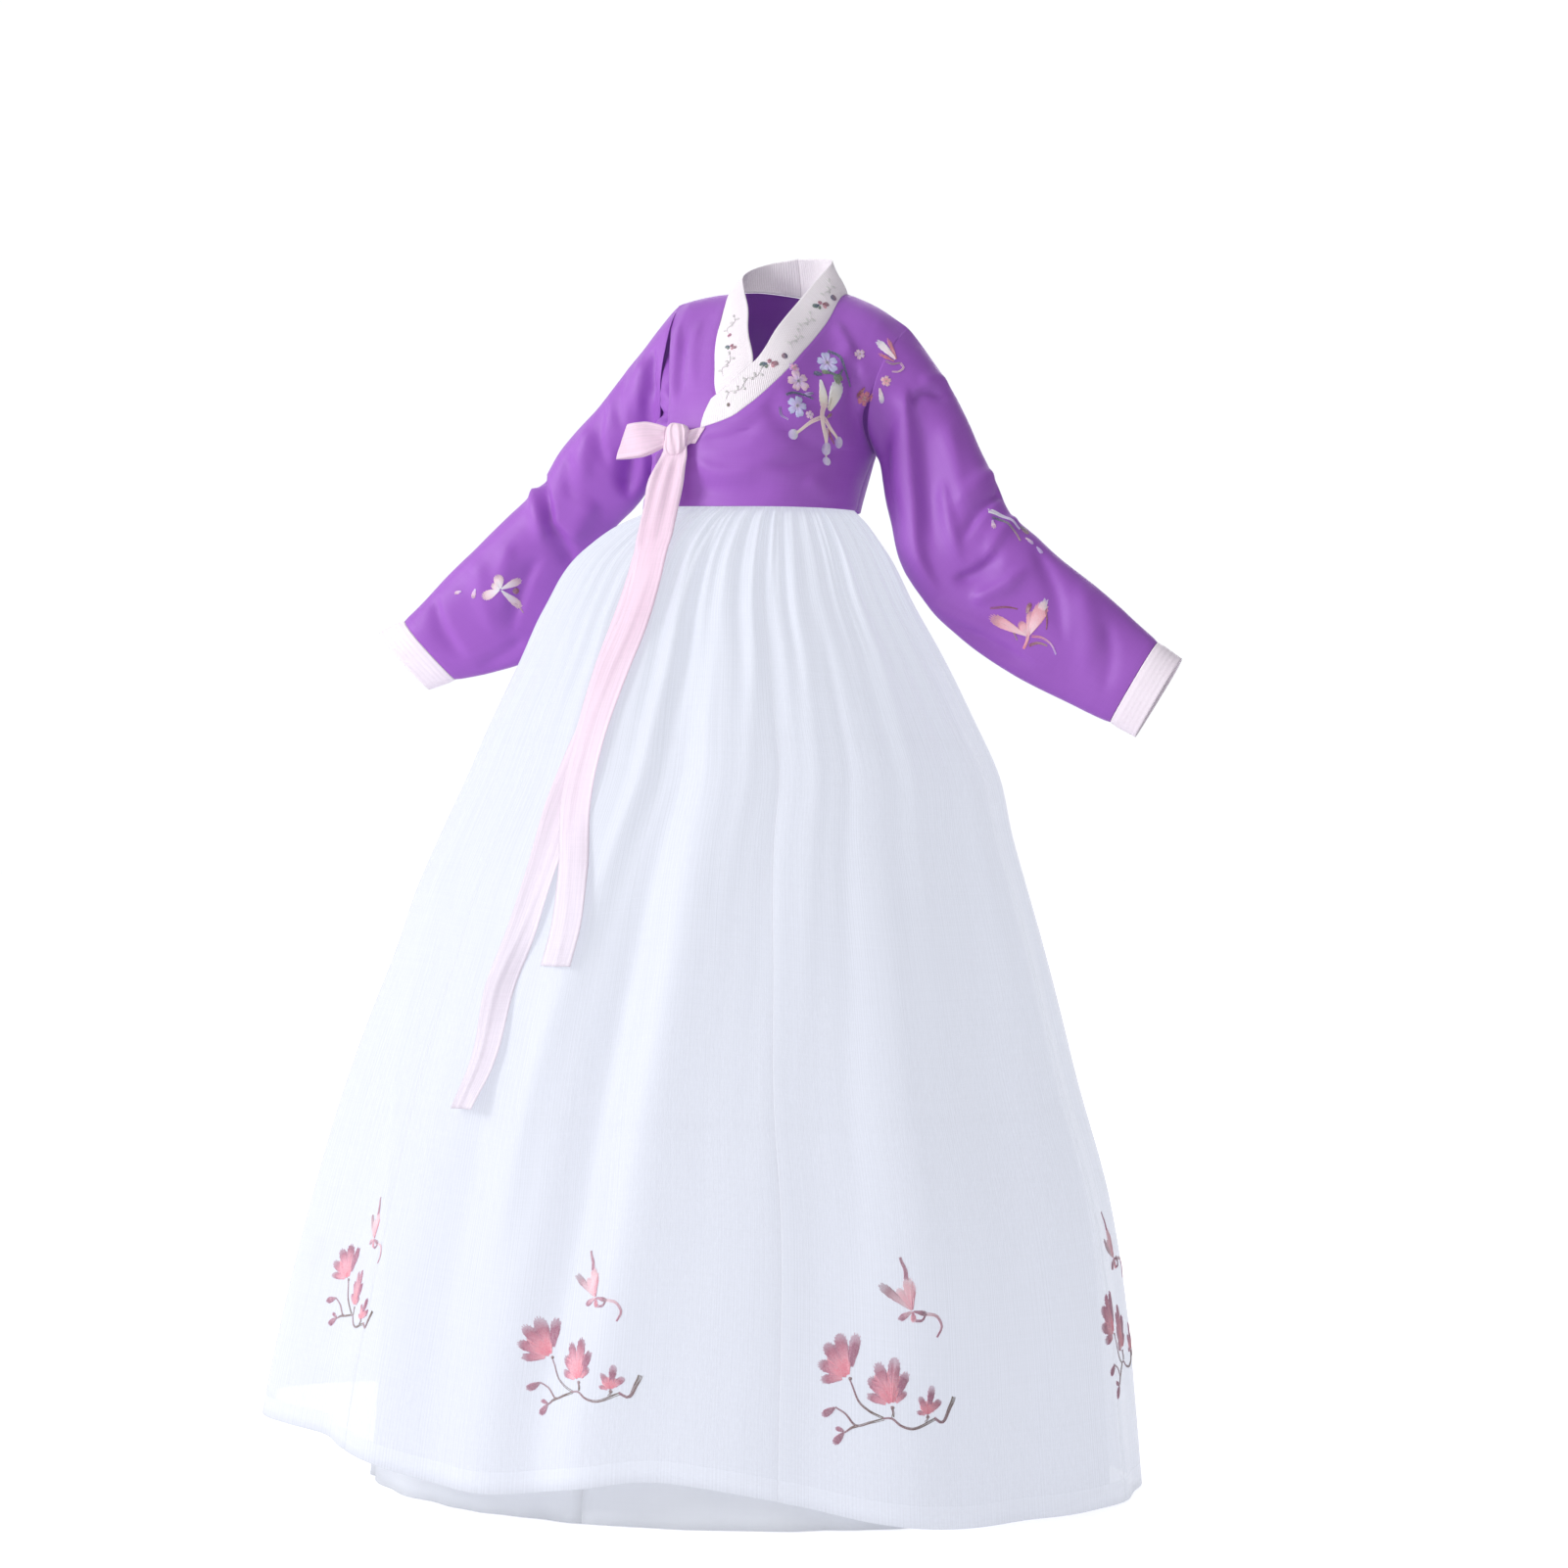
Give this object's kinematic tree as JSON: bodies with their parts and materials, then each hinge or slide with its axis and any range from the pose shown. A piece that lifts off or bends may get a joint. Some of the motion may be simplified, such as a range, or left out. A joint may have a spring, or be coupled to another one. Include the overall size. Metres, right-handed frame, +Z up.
{
  "type": "korean hanbok, worn form of jacket and skirt",
  "caption": "Short crossed jacket with collar band, curved sleeves and ribbon tie over a full gathered floor-length skirt, hollow as worn.",
  "frame": {"origin": "on the body axis at the base of the neck, at the height of the shoulder line, where the wearer's shoulders hold the garment up", "axes": "+Z up, the front faces -Y, +X towards the wearer's left"},
  "size_m": [1.1146, 0.8589, 1.4499],
  "materials": {
    "violet_satin": "violet satin with a soft sheen",
    "collar_cloth": "pinkish white satin",
    "tie_ribbon": "pale pink thin silky ribbon",
    "organza": "white fine organza",
    "underskirt_cloth": "plain white cloth",
    "embroidery_thread": "glossy rayon thread, mostly rose and pink"
  },
  "bodies": {
    "root": {"jacket_left": "violet_satin", "jacket_right": "violet_satin", "sleeve_upper_left": "violet_satin", "sleeve_middle_left": "violet_satin", "sleeve_lower_left": "violet_satin", "sleeve_upper_right": "violet_satin", "sleeve_middle_right": "violet_satin", "sleeve_lower_right": "violet_satin", "cuff_left": "collar_cloth", "cuff_right": "collar_cloth", "collar_left": "collar_cloth", "collar_right": "collar_cloth", "tie_strap": "tie_ribbon", "tie_knot": "tie_ribbon", "tie_loop": "tie_ribbon", "tie_tail_short": "tie_ribbon", "tie_tail_long": "tie_ribbon", "skirt_band": "organza", "skirt_width_1": "organza", "skirt_width_2": "organza", "skirt_width_3": "organza", "skirt_width_4": "organza", "skirt_width_5": "organza", "skirt_width_6": "organza", "underskirt_upper_front_left": "underskirt_cloth", "underskirt_upper_front_right": "underskirt_cloth", "underskirt_upper_back_right": "underskirt_cloth", "underskirt_upper_back_left": "underskirt_cloth", "underskirt_middle_front_left": "underskirt_cloth", "underskirt_middle_front_right": "underskirt_cloth", "underskirt_middle_back_right": "underskirt_cloth", "underskirt_middle_back_left": "underskirt_cloth", "underskirt_lower_front_left": "underskirt_cloth", "underskirt_lower_front_right": "underskirt_cloth", "underskirt_lower_back_right": "underskirt_cloth", "underskirt_lower_back_left": "underskirt_cloth"}
  },
  "joints": []
}
